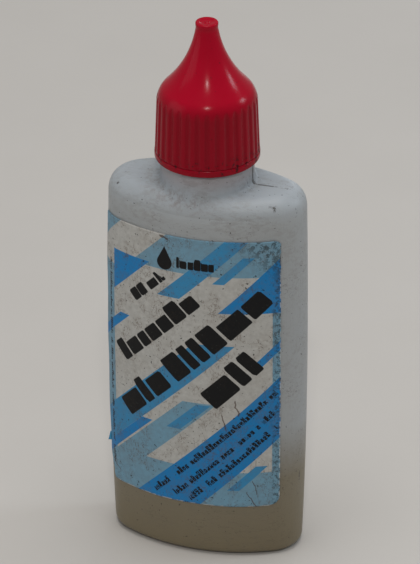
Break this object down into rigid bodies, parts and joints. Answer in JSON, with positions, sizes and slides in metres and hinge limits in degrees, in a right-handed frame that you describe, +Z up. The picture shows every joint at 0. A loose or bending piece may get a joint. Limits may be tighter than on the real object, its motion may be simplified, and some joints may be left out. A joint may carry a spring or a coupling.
{
  "type": "squeeze bottle",
  "caption": "Flat oval squeeze bottle of milky plastic for oil, with a paper front label, a dropper insert in the neck and a ribbed red screw cap with a long tapered nose.",
  "frame": {"origin": "middle of the flat ring that the bottle stands on, on the neck's axis", "axes": "+Z up along the neck's axis, +X along the bottle's wide side, -Y out of the label face"},
  "size_m": [0.0434, 0.0233, 0.1221],
  "materials": {
    "bottle": "natural blown polyethylene, milky and translucent, satin with fine scuffs",
    "spout_insert": "natural moulded polyethylene",
    "screw_cap": "crimson moulded plastic, soft gloss",
    "front_label": "coated paper printed with white and blue diagonal bands, scuffed and grimy",
    "oil_fill": "brownish oil seen through the wall"
  },
  "bodies": {
    "bottle": {"bottle": "bottle", "front_label": "front_label", "oil_fill": "oil_fill"},
    "spout_insert": {"spout_insert": "spout_insert"},
    "screw_cap": {"screw_cap": "screw_cap"}
  },
  "joints": [
    {"name": "cap_turn", "type": "hinge", "parent": "bottle", "child": "spout_insert", "pos_m": [0, 0, 0.0915], "axis": [0, 0, 1], "range_deg": [0, 810]},
    {"name": "cap_rise", "type": "slide", "parent": "spout_insert", "child": "screw_cap", "axis": [0, 0, 1], "range_m": [0, 0.00721]}
  ],
  "couplings": [
    {"joint": "cap_rise", "follows": "cap_turn", "m_per_rad": 0.0005093}
  ]
}
